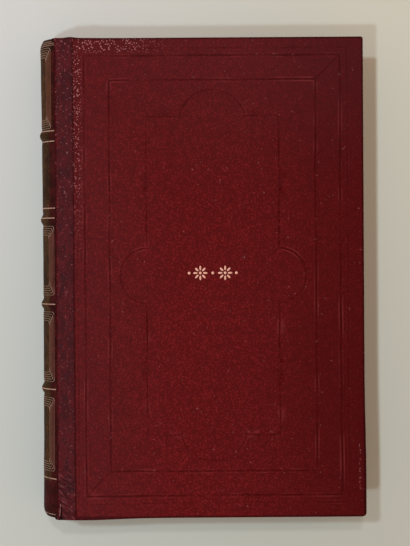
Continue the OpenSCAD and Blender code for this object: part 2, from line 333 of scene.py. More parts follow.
def embossed_bookcloth():
    material, tree, place = new_material("embossed_bookcloth")
    x, y, _ = add(tree, "ShaderNodeSeparateXYZ", place)
    tops = grain(tree, place, CLOTH_GRAIN)
    mottle = add(tree, "ShaderNodeTexNoise", Vector=place, Scale=1 / (3.85 * MM), Detail=5.0,
                 Roughness=0.6)[0]
    blotches = add(tree, "ShaderNodeTexNoise", Vector=place, Scale=1 / (62.5 * MM))[0]
    # Random blotches, and painted shade that grows towards the fore-edge.
    blotches_and_painted_shade = add(tree, "ShaderNodeMath", mask(tree, (blotches, 0.4, 0.65), share=0.12),
                   mask(tree, (x, 10 * MM, fore_x), share=0.58), operation="ADD")[0]
    # A pale painted sheen towards the spine and towards the head.
    painted_sheen = strongest(tree, mask(tree, (x, -5 * MM, -62 * MM), share=0.25),
                      mask(tree, (y, 30 * MM, head_y), share=0.25))
    relief = add(tree, "ShaderNodeAttribute", attribute_name=RELIEF)["Fac"]

    # Pale specks on the grain's tops near the leather and the head: painted glints, with some rubbed wear.
    along_leather = mask(tree, (x, cloth_x + 5 * MM, cloth_x + 3 * MM),
                         (y, head_y - 125 * MM, head_y - 20 * MM), share=0.66)
    along_head = mask(tree, (y, head_y - 8 * MM, head_y - 5 * MM),
                      (x, cloth_x + 50 * MM, cloth_x + 20 * MM), share=0.66)
    glints = speckle(tree, place, 1.0 * MM, 0.85, share=strongest(tree, along_leather, along_head))
    stray = speckle(tree, place, 1.6 * MM, 0.0, seed=7.7, share=0.3)
    rubbed = strongest(tree, mask(tree, (tops, 0.6, 0.85), share=glints), stray)

    nicks = speckle(tree, place, 1.0 * MM, 0.4, seed=6.2, share=0.5)
    for value, middle, half in ((x, fore_x - 2.5 * MM, 0.45 * MM), (y, 24 * MM - head_y, 11 * MM)):
        in_row = add(tree, "ShaderNodeMath", value, middle, half, operation="COMPARE")[0]
        nicks = add(tree, "ShaderNodeMath", nicks, in_row, operation="MULTIPLY")[0]

    # Darker along the head, tail and fore-edge, and a painted shadow of the leather's edge where the cloth
    # starts.
    from_middle = add(tree, "ShaderNodeMath", y, operation="ABSOLUTE")[0]
    darker_edges_and_painted_shadow = strongest(tree, mask(tree, (from_middle, head_y - 1.4 * MM, head_y - 0.4 * MM), share=0.6),
                     mask(tree, (x, fore_x - 1.4 * MM, fore_x - 0.4 * MM), share=0.6),
                     mask(tree, (x, cloth_x + 0.9 * MM, cloth_x + 0.25 * MM), share=0.6))

    threads = add(tree, "ShaderNodeTexNoise", Vector=place, Scale=1 / (0.5 * MM))[0]
    height = add(tree, "ShaderNodeMath", threads, 0.35, tops, operation="MULTIPLY_ADD")[0]
    bump = add(tree, "ShaderNodeBump", Strength=0.8, Distance=0.2 * MM, Height=height)[0]
    paint(tree, "#570b0c", [
        (tops, "#751a1b"),
        (mask(tree, (mottle, 0.62, 0.36), share=0.26), "#370506"),
        (blotches_and_painted_shade, "#3f0203"),
        (painted_sheen, "#472428"),
        # Darker in the furrows, partly burnished and partly painted shade; paler on the rims, partly wear
        # and partly a painted highlight.
        (mask(tree, (relief, -0.1, -0.9), share=0.55), "#300406"),
        (mask(tree, (relief, 0.1, 0.9), share=0.3), "#8f3a3b"),
        (rubbed, "#b87a7b"),
        (nicks, "#94565a"),
        (darker_edges_and_painted_shadow, "#240304"),
    ], Roughness=0.6, Specular_IOR_Level=0.035, Normal=bump)
    return material


cloth_finish = embossed_bookcloth()
print("bookcloth", len(cloth_finish.node_tree.nodes), "nodes")

# %% [markdown]
# Maroon morocco over the joints: goatskin, dyed and glazed, its grain coarser than the cloth's and
# crushed flat by the binder. A purplish painted reflection lies on the grain's tops in its upper part,
# and handling has scuffed it to a pale pink in small spots. Its creases get painted shade, as do the
# wrinkles, the joint's crease and the inside of the tear, and the wrinkles' ridges a painted highlight
# with some wear.

# %% Material: crushed morocco
MOROCCO_GRAIN = 0.95 * MM


def crushed_morocco():
    material, tree, place = new_material("crushed_morocco")
    y = add(tree, "ShaderNodeSeparateXYZ", place)["Y"]
    tops = grain(tree, place, MOROCCO_GRAIN, bend=0.6)
    drawn = add(tree, "ShaderNodeMapping", place, Scale=(1.0, 0.4, 1.0))[0]
    creases = add(tree, "ShaderNodeTexNoise", Vector=drawn, Scale=1 / (2.325 * MM), Detail=4.0)[0]
    clouds = add(tree, "ShaderNodeTexNoise", Vector=drawn, Scale=1 / (7.7 * MM), Detail=3.0)[0]
    # Purplish patches on the grain's tops in the upper part: a painted reflection.
    purple = mask(tree, (clouds, 0.45, 0.62), (y, -head_y * 0.7, head_y * 0.6))
    lit = add(tree, "ShaderNodeMix", purple, A="#5c1618", B="#5a1721", data_type="RGBA")[2]
    handled = add(tree, "ShaderNodeMapRange", y, -head_y * 0.2, head_y, 0.27, 0.6,
                  interpolation_type="SMOOTHSTEP")[0]
    spots = speckle(tree, place, 1.3 * MM, 0.34, seed=5.3, share=handled)
    relief = add(tree, "ShaderNodeAttribute", attribute_name=RELIEF)["Fac"]

    height = add(tree, "ShaderNodeMath", creases, 0.8, tops, operation="MULTIPLY_ADD")[0]
    bump = add(tree, "ShaderNodeBump", Strength=0.65, Distance=0.16 * MM, Height=height)[0]
    paint(tree, "#450a0f", [
        (tops, lit),
        # Painted shade in the creases.
        (mask(tree, (creases, 0.6, 0.38), share=0.5), "#23060d"),
        (mask(tree, (tops, 0.3, 0.8), share=spots), "#a5686a"),
        # Painted shade in the wrinkles, the joint's crease and the tear's inside; a painted highlight with
        # some wear on the wrinkles' ridges.
        (mask(tree, (relief, -0.08, -0.8), share=0.7), "#1c0406"),
        (mask(tree, (relief, 0.18, 0.7), share=0.22), "#9c6264"),
        (mask(tree, (relief, 1.0, 1.6), share=0.7), "#ad7a78"),
    ], Roughness=0.5, Specular_IOR_Level=0.06, Normal=bump)
    return material


morocco = crushed_morocco()
print("morocco", len(morocco.node_tree.nodes), "nodes")

# %% [markdown]
# Spine leather. It is the same skin, but it stood to the light on a shelf for a century: the middle
# of the back has faded to brown, the sides near the joints are still maroon, and so is the plain panel
# at the tail. The pattern follows the back, so the material reads a UV map that holds real lengths:
# the first coordinate runs around the arc from its middle, the second along the spine.

# %% Material: faded spine leather
TITLE_PANEL = (31 * MM, 66 * MM)
TAIL_PANEL_TOP = -96 * MM
HEAD_WEAR = (66 * MM, 78 * MM)
MAROON_EDGE = (17.9 * MM, 18.6 * MM)
SPINE_MAP = "around_the_back"


def faded_spine_leather():
    material, tree, place = new_material("faded_spine_leather")
    around, along, _ = add(tree, "ShaderNodeSeparateXYZ", add(tree, "ShaderNodeUVMap", uv_map=SPINE_MAP)[0])
    tops = grain(tree, place, MOROCCO_GRAIN, bend=0.6, seed=1.7)
    streaks = add(tree, "ShaderNodeTexNoise", Vector=place, Scale=1 / (7.15 * MM), Detail=5.0,
                  Roughness=0.65)[0]
    from_middle = add(tree, "ShaderNodeMath", around, operation="ABSOLUTE")[0]
    streaky = add(tree, "ShaderNodeMath", streaks, 5 * MM, from_middle, operation="MULTIPLY_ADD")[0]
    kept_dark = add(tree, "ShaderNodeMapRange", along, *HEAD_WEAR, 0.95, 0.19,
                    interpolation_type="SMOOTHSTEP")[0]
    title_from, title_to = TITLE_PANEL
    maroon = strongest(
        tree, mask(tree, (streaky, 17 * MM, 19.5 * MM), share=kept_dark),
        mask(tree, (from_middle, *MAROON_EDGE), share=0.95),
        mask(tree, (along, title_from, title_from + 1.5 * MM), (along, title_to, title_to - 1.5 * MM),
             share=0.15),
        mask(tree, (along, TAIL_PANEL_TOP, TAIL_PANEL_TOP - 1 * MM)))
    streaked = mask(tree, (streaks, 0.35, 0.65))
    brown, red = [add(tree, "ShaderNodeMix", streaked, A=dark, B=light, data_type="RGBA")[2]
                  for dark, light in (("#392515", "#5e3f23"), ("#340e10", "#521819"))]
    valleys = add(tree, "ShaderNodeMath", tops, -0.55, 0.55, operation="MULTIPLY_ADD")[0]

    height = add(tree, "ShaderNodeMath", streaks, 0.6, tops, operation="MULTIPLY_ADD")[0]
    bump = add(tree, "ShaderNodeBump", Strength=0.6, Distance=0.13 * MM, Height=height)[0]
    paint(tree, brown, [
        (maroon, red),
        (mask(tree, (along, *HEAD_WEAR), (from_middle, *MAROON_EDGE[::-1]), share=0.25), "#6e4426"),
        (mask(tree, (along, 107 * MM, 110 * MM), share=0.6), "#20160e"),
        # Painted shade in the grain's valleys.
        (valleys, "#1c0d0a"),
    ], Roughness=0.5, Specular_IOR_Level=0.012, Normal=bump)
    return material


spine_finish = faded_spine_leather()
print("spine leather", len(spine_finish.node_tree.nodes), "nodes")

# %% [markdown]
# Gold leaf, pressed into leather with hot brass tools. It is real metal, one micron thin, so it shines
# like gold but follows the leather's grain, and where hands have rubbed it the leather shows through. A
# speckle mixes the metal back to bare leather. A value of the points takes gold away as well: for
# wear, and as painted shade along the panels' upright sides, where the lines catch less light.

# %% Material: gold leaf
GOLD_WEAR_AND_SHADE = "rubbed"


def tooled_gold(name, bare_share, bare, dull, bright):
    material, tree, place = new_material(name)
    rubbed = add(tree, "ShaderNodeAttribute", attribute_name=GOLD_WEAR_AND_SHADE)["Fac"]
    left = add(tree, "ShaderNodeMath", 1.0, rubbed, operation="SUBTRACT")[0]
    flaked = speckle(tree, place, 0.9 * MM, bare_share, seed=9.4, share=left)
    whole = add(tree, "ShaderNodeMath", left, flaked, operation="SUBTRACT")[0]
    uneven = add(tree, "ShaderNodeTexNoise", Vector=place, Scale=1 / (2 * MM))[0]
    gold = add(tree, "ShaderNodeMix", uneven, A=dull, B=bright, data_type="RGBA")[2]
    metal = add(tree, "ShaderNodeMath", whole, 0.5, operation="MULTIPLY")[0]
    dents = add(tree, "ShaderNodeTexNoise", Vector=place, Scale=1 / (0.667 * MM))[0]
    bump = add(tree, "ShaderNodeBump", Strength=0.4, Distance=0.08 * MM, Height=dents)[0]
    paint(tree, bare, [(whole, gold)], Metallic=metal, Roughness=0.45, Specular_IOR_Level=0.05,
          Normal=bump)
    return material


spine_gold = tooled_gold("gold_leaf_on_spine", 0.3, "#693427", "#b58874", "#cbae9c")
cover_gold = tooled_gold("gold_leaf_on_cloth", 0.0, "#5c0a0b", "#b47660", "#cb9a88")
print("gold leaf", len(spine_gold.node_tree.nodes), "nodes")

# %% [markdown]
# Paper shows in three places. The endpapers are plain cream stock with foxing, the brown spots that
# damp leaves. The cut edges of the leaves are toned and ruled by hundreds of fine lines, one a leaf.
# The tube behind the spine is brown kraft paper. Millboard is pressed from rope and waste paper, grey
# brown and full of fibres. All of them are matt. Thread and cord show their twist as slanting bands.

# %% Materials: papers, board and thread
def aged_paper(name, light, dark, spot_share, fibre=0.25 * MM):
    material, tree, place = new_material(name)
    tone = add(tree, "ShaderNodeTexNoise", Vector=place, Scale=1 / (36 * MM), Detail=6.0)[0]
    fibres = add(tree, "ShaderNodeTexNoise", Vector=place, Scale=1 / fibre, Detail=3.0)[0]
    bump = add(tree, "ShaderNodeBump", Strength=0.35, Distance=0.06 * MM, Height=fibres)[0]
    foxing = speckle(tree, place, 4 * MM, spot_share, seed=2.2, share=0.5)
    paint(tree, light, [(mask(tree, (tone, 0.35, 0.7)), dark), (foxing, "#9a6a3c")],
          Roughness=0.85, Specular_IOR_Level=0.2, Normal=bump)
    return material


LEAF_LINE = 0.32 * MM  # three leaves together, as one line for each leaf is too fine to show
LEAF_RUN = 1 / 6  # metres; a line hardly changes along a leaf


def leaf_edges():
    material, tree, place = new_material("toned_leaf_edges")
    squeezed = add(tree, "ShaderNodeMapping", place, Scale=(1 / LEAF_RUN, 1 / LEAF_RUN, 1 / LEAF_LINE))[0]
    lines = add(tree, "ShaderNodeTexNoise", Vector=squeezed, Scale=1.0)[0]
    tone = add(tree, "ShaderNodeTexNoise", Vector=place, Scale=1 / (25 * MM), Detail=4.0)[0]
    paper = add(tree, "ShaderNodeMix", tone, A="#c9b48c", B="#a98f68", data_type="RGBA")[2]
    bump = add(tree, "ShaderNodeBump", Strength=0.6, Distance=0.15 * MM, Height=lines)[0]
    paint(tree, "#7c6446", [(mask(tree, (lines, 0.34, 0.6)), paper)],
          Roughness=0.8, Specular_IOR_Level=0.25, Normal=bump)
    return material


def twisted_thread(name, light, dark, pitch=0.5 * MM):
    material, tree, place = new_material(name)
    strands = add(tree, "ShaderNodeTexWave", Vector=place, Scale=0.3 / pitch, Distortion=1.5,
                  bands_direction="DIAGONAL")["Fac"]
    bump = add(tree, "ShaderNodeBump", Strength=0.5, Distance=0.08 * MM, Height=strands)[0]
    paint(tree, dark, [(strands, light)], Roughness=0.7, Normal=bump)
    return material


endpaper_stock = aged_paper("cream_endpaper", "#e2d8bd", "#cfc09c", 0.1)
edge_finish = leaf_edges()
kraft = aged_paper("brown_kraft_paper", "#a58660", "#86694a", 0.0)
millboard = aged_paper("millboard", "#9d8f74", "#7d6f58", 0.15, fibre=0.6 * MM)
lining_cloth = aged_paper("glued_mull", "#a3987a", "#857a5e", 0.05, fibre=0.9 * MM)
band_strip = aged_paper("skived_leather_strip", "#8a643f", "#6d4c2f", 0.05)
hemp = twisted_thread("hemp_cord", "#b5a57e", "#877a5c", pitch=0.8 * MM)
red_thread = twisted_thread("red_silk_thread", "#8e2a24", "#6b241d")
cream_thread = twisted_thread("cream_silk_thread", "#d8c9a0", "#a19475")
print("materials", len(bpy.data.materials))

# %% [markdown]
# The CAD nodes that keep their shape only need the right finish: the boards, the lining, the tube,
# the cords and the strips under the bands. Most of them are hidden until a cover opens, but they are
# real pieces and get real materials.

# %% Finish the hidden construction
def finish_nodes(material, *nodes):
    for node in nodes:
        mesh = frame["nodes"][node].data
        mesh.materials.clear()
        mesh.materials.append(material)


finish_nodes(millboard, "front_board", "back_board")
finish_nodes(lining_cloth, "spine_lining")
finish_nodes(kraft, "spine_tube")
finish_nodes(hemp, *[f"sewing_cord_{i}" for i in range(1, 6)])
finish_nodes(band_strip, *[f"raised_band_{i}" for i in range(1, 5)])

# %% [markdown]
# The spine skin. On the real book, damp leather is stretched over the bands and worked down beside
# them with a polished stick, so each band has a soft foot and a slight hollow next to it. It could be
# sculpted, but its shape follows a rule: the height above the back depends only on the distance from
# a band and on the angle. So the skin is a closed section, drawn once along the spine, repeated
# around the arc and lifted by that rule.

# %% Spine skin: the height above the back
BAND_RISE = 0.95 * MM
BAND_HALF = 2.45 * MM
band_ys = sorted((sum(corner[1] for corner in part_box(f"raised_band_{i}")) / 2 for i in range(1, 5)),
                 reverse=True)
print("bands at", [round(y / MM, 1) for y in band_ys])


def band_height(y, angle):
    """How far the leather is lifted by the bands, with a hollow along each foot."""
    share = abs(angle) / half_angle
    fade = 1 - 0.75 * max(0.0, share - 0.35) ** 1.5 / 0.65 ** 1.5
    lift = 0.0
    for centre in band_ys:
        d = abs(y - centre) / BAND_HALF
        if d < 1:
            lift += BAND_RISE * fade * (0.5 + 0.5 * math.cos(math.pi * d)) ** 0.62
        lift -= 0.16 * MM * fade * bell(d, 1.25, 0.35)
    return lift


def skin_lift(y, angle):
    """Bands, the slow unevenness of old leather, the bow of a back gripped in its middle, worn ends."""
    uneven = 0.07 * MM * wander(angle * back_r, y, 14 * MM, 1.3)
    fine = 0.03 * MM * wander(angle * back_r, y, 4 * MM, 4.1)
    bow = 0.3 * MM * (2 * (y / head_y) ** 2 - 1) * math.cos(angle * math.pi / 2 / half_angle)
    past = max(0.0, abs(y) - (head_y - 4 * MM)) / MM
    return band_height(y, angle) + uneven + fine + bow - 0.08 * MM * past ** 2


# %% [markdown]
# The section runs along the outer face from the tail cap to the head cap, over a small round, in to
# the cap's inner edge, and back along the inner face. Points are closer together on the bands.

# %% Spine skin: section and mesh
CAP = 3.6 * MM
CAP_ROUND = 1.0 * MM
ROW_STEP = 1.3 * MM
STEP_ON_BAND = 0.35 * MM
BAND_REACH = 4 * MM
skin_reach = half_angle - math.radians(0.3)  # the joint's leather takes over here


def spine_rows():
    """Places along the spine, closer on the bands than between them."""
    ends = head_y - CAP_ROUND
    ys = {round(y, 7) for y in np.arange(-ends, ends, ROW_STEP)}
    for centre in band_ys:
        ys.update(round(centre + d, 7) for d in np.arange(-BAND_REACH, BAND_REACH + 0.01 * MM, STEP_ON_BAND))
    rows = [-ends]
    for y in sorted(ys):
        if y - rows[-1] > 0.25 * MM:
            rows.append(y)
    if ends - rows[-1] < 0.2 * MM:
        rows.pop()
    return rows + [ends]


def cap_share(angle):
    """A cap is whole over the endband and dies away beside the boards."""
    clear = math.atan2(board_lo[2] - mid_z, arc_x - board_x) - 0.04
    return unit((clear - abs(angle)) / 0.08 + 0.3) if abs(angle) < clear else 0.0


def skin_section():
    """The closed section: height above the back, y, how far it follows the lift, and its share of a cap."""
    outer = [(0.0, y, 1.0, 0.0) for y in spine_rows()]
    steps = 5
    turned = [math.pi / 2 * k / steps for k in range(1, steps + 1)]
    head = [(-CAP_ROUND * (1 - math.cos(a)), head_y - CAP_ROUND * (1 - math.sin(a)), math.cos(a), 0.0)
            for a in turned]
    head += [(-CAP_ROUND, head_y - 0.12 * MM * k / 3, 0.0, k / 3) for k in (1, 2, 3)]
    head += [(-CAP_ROUND - 0.2 * MM, head_y - 0.45 * MM, 0.0, 1.0), (-CAP_ROUND, head_y - LEATHER, 0.0, 1.0),
             (-LEATHER - 0.05 * MM, head_y - LEATHER, 0.0, 0.0)]
    tail = [(r, -y, follow, cap) for r, y, follow, cap in reversed(head)]
    inner = [(-LEATHER, y, 0.0, 0.0) for y in np.linspace(head_y - LEATHER - 0.3 * MM,
                                                         -head_y + LEATHER + 0.3 * MM, 60)]
    return tail + outer + head + inner


def spine_skin():
    section = skin_section()
    columns = 61
    points = []
    for angle in np.linspace(-skin_reach, skin_reach, columns):
        for r, y, follow, cap in section:
            lift = follow * skin_lift(y, angle) - cap * (CAP - CAP_ROUND) * cap_share(angle)
            points.append(on_back(angle, back_r + r + lift, y))
    count = len(section)
    faces = grid_faces(columns, count, ring=True)
    faces.append(tuple(range(count)))
    faces.append(tuple(reversed(range((columns - 1) * count, columns * count))))
    obj = mesh_piece("spine_skin", points, faces, spine_finish)
    clean(obj)
    uv = obj.data.uv_layers.new(name=SPINE_MAP)
    for loop in obj.data.loops:
        x, y, z = obj.data.vertices[loop.vertex_index].co
        angle = math.atan2(z - mid_z, arc_x - x)
        uv.data[loop.index].uv = (angle * back_r, y)
    return obj


spine = spine_skin()
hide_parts("spine_leather")
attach(spine, "text_block")
print("spine skin", len(spine.data.polygons), "faces")

# %% [markdown]
# Gilt lines on the spine. The finisher runs a brass fillet around each panel five times, each line a
# millimetre inside the last, and rolls single lines beside and on the bands. Every line is the same
# thin strip along a path, and the paths differ only in size and place. That is work for Geometry
# Nodes: a point stands for each rectangle and holds its width and height, a unit square is instanced
# on it at that size, its corners are rounded, the path is swept into a strip, and at last the whole
# flat drawing is wrapped around the back.

# %% Gilt lines: the node tree
def new_tree(name, inputs):
    """A Geometry Nodes tree whose named inputs stand at the given values, and their sockets."""
    tree = bpy.data.node_groups.new(name, "GeometryNodeTree")
    for way in ("INPUT", "OUTPUT"):
        tree.interface.new_socket(name="Geometry", in_out=way, socket_type="NodeSocketGeometry")
    for label, value in inputs.items():
        kind = "NodeSocketInt" if isinstance(value, int) else "NodeSocketFloat"
        tree.interface.new_socket(name=label, in_out="INPUT", socket_type=kind).default_value = value
    return tree, add(tree, "NodeGroupInput")


def run_tree(obj, tree, values):
    """Runs a tree on an object with its named inputs set, and keeps the plain mesh."""
    modifier = obj.modifiers.new("nodes", "NODES")
    modifier.node_group = tree
    for item in tree.interface.items_tree:
        if item.in_out == "INPUT" and item.name in values:
            modifier[item.identifier] = values[item.name]
    return applied(obj)


def finished(tree, geometry, material):
    """The geometry with its instances made real and its material set."""
    real = add(tree, "GeometryNodeRealizeInstances", geometry)[0]
    return add(tree, "GeometryNodeSetMaterial", real, Material=material)[0]


def gilt_line_tree():
    tree, given = new_tree("gilt_lines_around_the_back", {
        "Back Radius": back_r, "Line Width": 0.36 * MM, "Line Height": 0.12 * MM, "Corner": 1.3 * MM,
        "Step": 0.7 * MM})
    sides = [add(tree, "GeometryNodeInputNamedAttribute", name, data_type="FLOAT")[0]
             for name in ("frame_w", "frame_h")]
    size = add(tree, "ShaderNodeCombineXYZ", *sides, 1.0)[0]
    square = add(tree, "GeometryNodeCurvePrimitiveQuadrilateral", Width=1.0, Height=1.0)[0]
    squares = add(tree, "GeometryNodeInstanceOnPoints", given["Geometry"], Instance=square, Scale=size)[0]
    paths = add(tree, "GeometryNodeRealizeInstances", squares)[0]
    rounded = add(tree, "GeometryNodeFilletCurve", paths, Radius=given["Corner"], Limit_Radius=True,
                  Count=5, mode="POLY")[0]
    even = add(tree, "GeometryNodeResampleCurve", rounded, Length=given["Step"], mode="LENGTH")[0]
    level = add(tree, "GeometryNodeSetCurveNormal", even, Normal=(0.0, 0.0, 1.0), mode="FREE")[0]
    profile = add(tree, "GeometryNodeCurvePrimitiveQuadrilateral", Width=given["Line Width"],
                  Height=given["Line Height"])[0]
    strip = add(tree, "GeometryNodeCurveToMesh", level, Profile_Curve=profile, Fill_Caps=True)[0]

    x, y, z = add(tree, "ShaderNodeSeparateXYZ", add(tree, "GeometryNodeInputPosition")[0])
    angle = add(tree, "ShaderNodeMath", x, given["Back Radius"], operation="DIVIDE")[0]
    radius = add(tree, "ShaderNodeMath", given["Back Radius"], z, operation="ADD")[0]
    wrapped = []
    for operation, way, centre in (("COSINE", -1.0, arc_x), ("SINE", 1.0, mid_z)):
        turned = add(tree, "ShaderNodeMath", angle, operation=operation)[0]
        reach = add(tree, "ShaderNodeMath", radius, turned, operation="MULTIPLY")[0]
        wrapped.append(add(tree, "ShaderNodeMath", reach, way, centre, operation="MULTIPLY_ADD")[0])
    place = add(tree, "ShaderNodeCombineXYZ", wrapped[0], y, wrapped[1])[0]
    bent = add(tree, "GeometryNodeSetPosition", strip, Position=place)[0]
    add(tree, "NodeGroupOutput", finished(tree, bent, spine_gold))
    return tree


# %% [markdown]
# The drawing itself: the framed panels with their middle and height along the spine, and the single
# lines. The panel below the first band and the one at the tail stay plain.

# %% Gilt lines: the drawing
LINES = 5
LINE_STEP = 1.05 * MM
# Middle along the spine, height, half width and how much gold is taken away, for wear and painted shade.
PANELS = [(90.6, 38.3, 17.8, 0.93), (8.6, 32.8, 19.5, 0.87),
          (-32.4, 33.1, 19.1, 0.87), (-74.2, 35.0, 18.8, 0.87)]
SINGLE_LINES = [112.7, 111.8, 110.9, 70.3, 65.4, 33.6, -95.3, -112.4]
BAND_LINES = [28.9, -12.1, -52.6]
CAP_ZONE = head_y - 4 * MM


def gold_worn_and_shaded_at(y, across):
    """Gold is nearly whole across a panel's ends and taken away along its sides: partly wear where hands
    grip the back, partly painted shade where the upright lines catch less light.
    """
    for middle, height, half, rubbed in PANELS:
        from_end = height * MM / 2 - abs(y - middle * MM)
        from_side = half * MM - abs(across)
        if from_end > 0:
            return rubbed * unit((from_end - from_side - 0.4 * MM) / (2 * MM))
    return 0.45 if y > CAP_ZONE else 0.0


def gilt_frames():
    """Runs the tree on one point for each rectangle, and lays the strips onto the leather's skin."""
    boxes = [(middle * MM, 2 * (half * MM - k * LINE_STEP), height * MM - 2 * k * LINE_STEP)
             for middle, height, half, _ in PANELS for k in range(LINES)]
    obj = mesh_piece("gilt_panel_frames", [(0.0, y, 0.02 * MM) for y, w, h in boxes], [], spine_gold)
    set_values(obj, "frame_w", [w for y, w, h in boxes])
    set_values(obj, "frame_h", [h for y, w, h in boxes])
    run_tree(obj, gilt_line_tree(), {})
    rubbed = []
    for vertex in obj.data.vertices:
        x, y, z = vertex.co
        angle = math.atan2(z - mid_z, arc_x - x)
        radius = math.hypot(z - mid_z, arc_x - x) + skin_lift(y, angle)
        vertex.co = on_back(angle, radius, y)
        rubbed.append(gold_worn_and_shaded_at(y, back_r * angle))
    set_values(obj, GOLD_WEAR_AND_SHADE, rubbed)
    return obj


frames = gilt_frames()
print("gilt frames", len(frames.data.polygons), "faces")

# %% [markdown]
# The straight lines cross the whole back, and three of them run over the crown of a band. They are
# swept by hand, as one short section carried around the arc at the height of the leather below it,
# because the height changes along the way. Those on the caps are finer.

# %% Gilt lines: across the back
def cross_lines(name, ys):
    steps, sunk, height = 60, -0.05 * MM, 0.07 * MM
    points, faces = [], []
    for y in [y * MM for y in ys]:
        half = (0.15 if abs(y) > CAP_ZONE else 0.225) * MM
        start = len(points)
        section = [(y - half, sunk), (y - half, height), (y + half, height), (y + half, sunk)]
        points += [on_back(angle, back_r + skin_lift(place, angle) + rise, place)
                   for angle in np.linspace(-skin_reach, skin_reach, steps) for place, rise in section]
        end = start + 4 * (steps - 1)
        faces += grid_faces(steps, 4, ring=True, start=start)
        faces += [tuple(start + k for k in (0, 1, 2, 3)), tuple(end + k for k in (3, 2, 1, 0))]
    obj = clean(mesh_piece(name, points, faces, spine_gold, smooth=False))
    set_values(obj, GOLD_WEAR_AND_SHADE, [gold_worn_and_shaded_at(vertex.co.y, 0.0) for vertex in obj.data.vertices])
    return obj


single = cross_lines("gilt_cross_lines", SINGLE_LINES + BAND_LINES)
for piece in (frames, single):
    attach(piece, "text_block")
print("gilt cross lines", len(single.data.polygons), "faces")

# %% [markdown]
# The cloth side. Its outline is a rounded rectangle that wraps over three edges of the board and is
# turned in behind it. The stamped lines are pressed into it with a heated plate, so they are real
# furrows, with a soft lip on each side where the cloth was pushed up.
#
# Sculpting or displacing a fine grid would need millions of faces for lines half a millimetre wide.
# Instead the top is a triangulation whose points lie along the lines: the same closed outlines drawn
# again at a few small insets, joined by a constrained Delaunay triangulation. Depth then depends only
# on the distance from the nearest line.

# %% Stamped lines: their outlines
FRAME_HEAD = 8.1 * MM
FRAME_TAIL = 10.2 * MM
FRAME_FORE = 10.7 * MM
FRAME_JOINT = 13.8 * MM
DOUBLE_GAP = 3.5 * MM
INNER_INSET = 11.6 * MM
PANEL_SIDE = 17.5 * MM
PANEL_END = 17.3 * MM
LOBE_OUT = 12.6 * MM
LOBE_END = 15.5 * MM
LOBE_SIDE = 13.0 * MM
LINE_W = 0.8 * MM

outer = (joint_x + FRAME_JOINT, fore_x - FRAME_FORE, -head_y + FRAME_TAIL, head_y - FRAME_HEAD)
outer_mid = (outer[0] + LINE_W / 2, outer[1] - LINE_W / 2, outer[2] + LINE_W / 2, outer[3] - LINE_W / 2)


def inset_box(box, d, d_end=None):
    d_end = d if d_end is None else d_end
    return (box[0] + d, box[1] - d, box[2] + d_end, box[3] - d_end)


def split_run(a, b, step=3 * MM):
    """Points from a up to but not including b, evenly spaced."""
    count = max(1, round(math.dist(a, b) / step))
    return [(a[0] + (b[0] - a[0]) * k / count, a[1] + (b[1] - a[1]) * k / count) for k in range(count)]


def frame_loop(box):
    """A plain rectangular outline."""
    x0, x1, y0, y1 = box
    corners = [(x0, y0), (x1, y0), (x1, y1), (x0, y1)]
    return [p for a, b in zip(corners, corners[1:] + corners[:1]) for p in split_run(a, b)]


def lobe(middle, out, half, inset, turn):
    """The arc of one lobe; out is its crown, turn the direction in which it bulges."""
    radius = (half ** 2 + LOBE_OUT ** 2) / (2 * LOBE_OUT)
    depth = radius - LOBE_OUT + inset
    reach = math.acos(max(-1.0, min(1.0, depth / (radius - inset))))
    centre = (middle[0] + (out - radius) * math.cos(turn), middle[1] + (out - radius) * math.sin(turn))
    steps = 26
    return [(centre[0] + (radius - inset) * math.cos(turn - reach + 2 * reach * k / steps),
             centre[1] + (radius - inset) * math.sin(turn - reach + 2 * reach * k / steps))
            for k in range(steps + 1)]


def lobed_loop(inset):
    """The panel's outline with a lobe on each side, drawn in by an inset."""
    x0, x1, y0, y1 = panel_box
    middle = ((x0 + x1) / 2, (y0 + y1) / 2)
    half_w, half_h = (x1 - x0) / 2, (y1 - y0) / 2
    corners = [(x1 - inset, y0 + inset), (x1 - inset, y1 - inset), (x0 + inset, y1 - inset),
               (x0 + inset, y0 + inset)]
    loop = []
    sides = [(0.0, half_w, LOBE_SIDE), (math.pi / 2, half_h, LOBE_END), (math.pi, half_w, LOBE_SIDE),
             (3 * math.pi / 2, half_h, LOBE_END)]
    for start, end, (turn, half_size, opening) in zip(corners, corners[1:] + corners[:1], sides):
        arc = lobe(middle, half_size + LOBE_OUT, opening, inset, turn)
        loop += split_run(start, arc[0]) + arc[:-1] + split_run(arc[-1], end)
    return loop


inner_mid = inset_box(outer_mid, INNER_INSET)
panel_box = inset_box(inner_mid, PANEL_SIDE, PANEL_END)
mitres = [((inner_mid[i], inner_mid[j]), (outer_mid[i], outer_mid[j])) for i in (0, 1) for j in (2, 3)]
MITRE_DEPTHS = (0.75, 0.15, 0.25, 0.75)  # two of the four are nearly worn away
# Each drawn line: its outline at an inset, and how deep it was stamped.
stamped = [
    (lambda d: frame_loop(inset_box(outer_mid, d)), 1.0),
    (lambda d: frame_loop(inset_box(outer_mid, d - DOUBLE_GAP)), 0.55),
    (lambda d: frame_loop(inset_box(inner_mid, d)), 0.95),
    (lobed_loop, 0.8),
]
print("stamped outlines", [len(line(0.0)) for line, depth in stamped])

# %% [markdown]
# The depth at any point is a narrow furrow below the nearest line with a low lip beside it. The plate
# didn't press evenly and hands have worn the relief, so each line grows stronger and weaker along its
# way. Near the tail, beside the outer frame, the cloth has lifted from the board in a small blister.

# %% Stamped lines: depth
FURROW = 0.34 * MM
FURROW_HALF = 0.45 * MM
LIP = 0.09 * MM
BLISTER = (outer[0] + 0.3 * MM, -head_y + 30 * MM)
ACROSS = (-1.3, -1.0, -0.75, -0.5, -0.25, 0.0, 0.25, 0.5, 0.75, 1.0, 1.3)  # rows beside a line, in mm

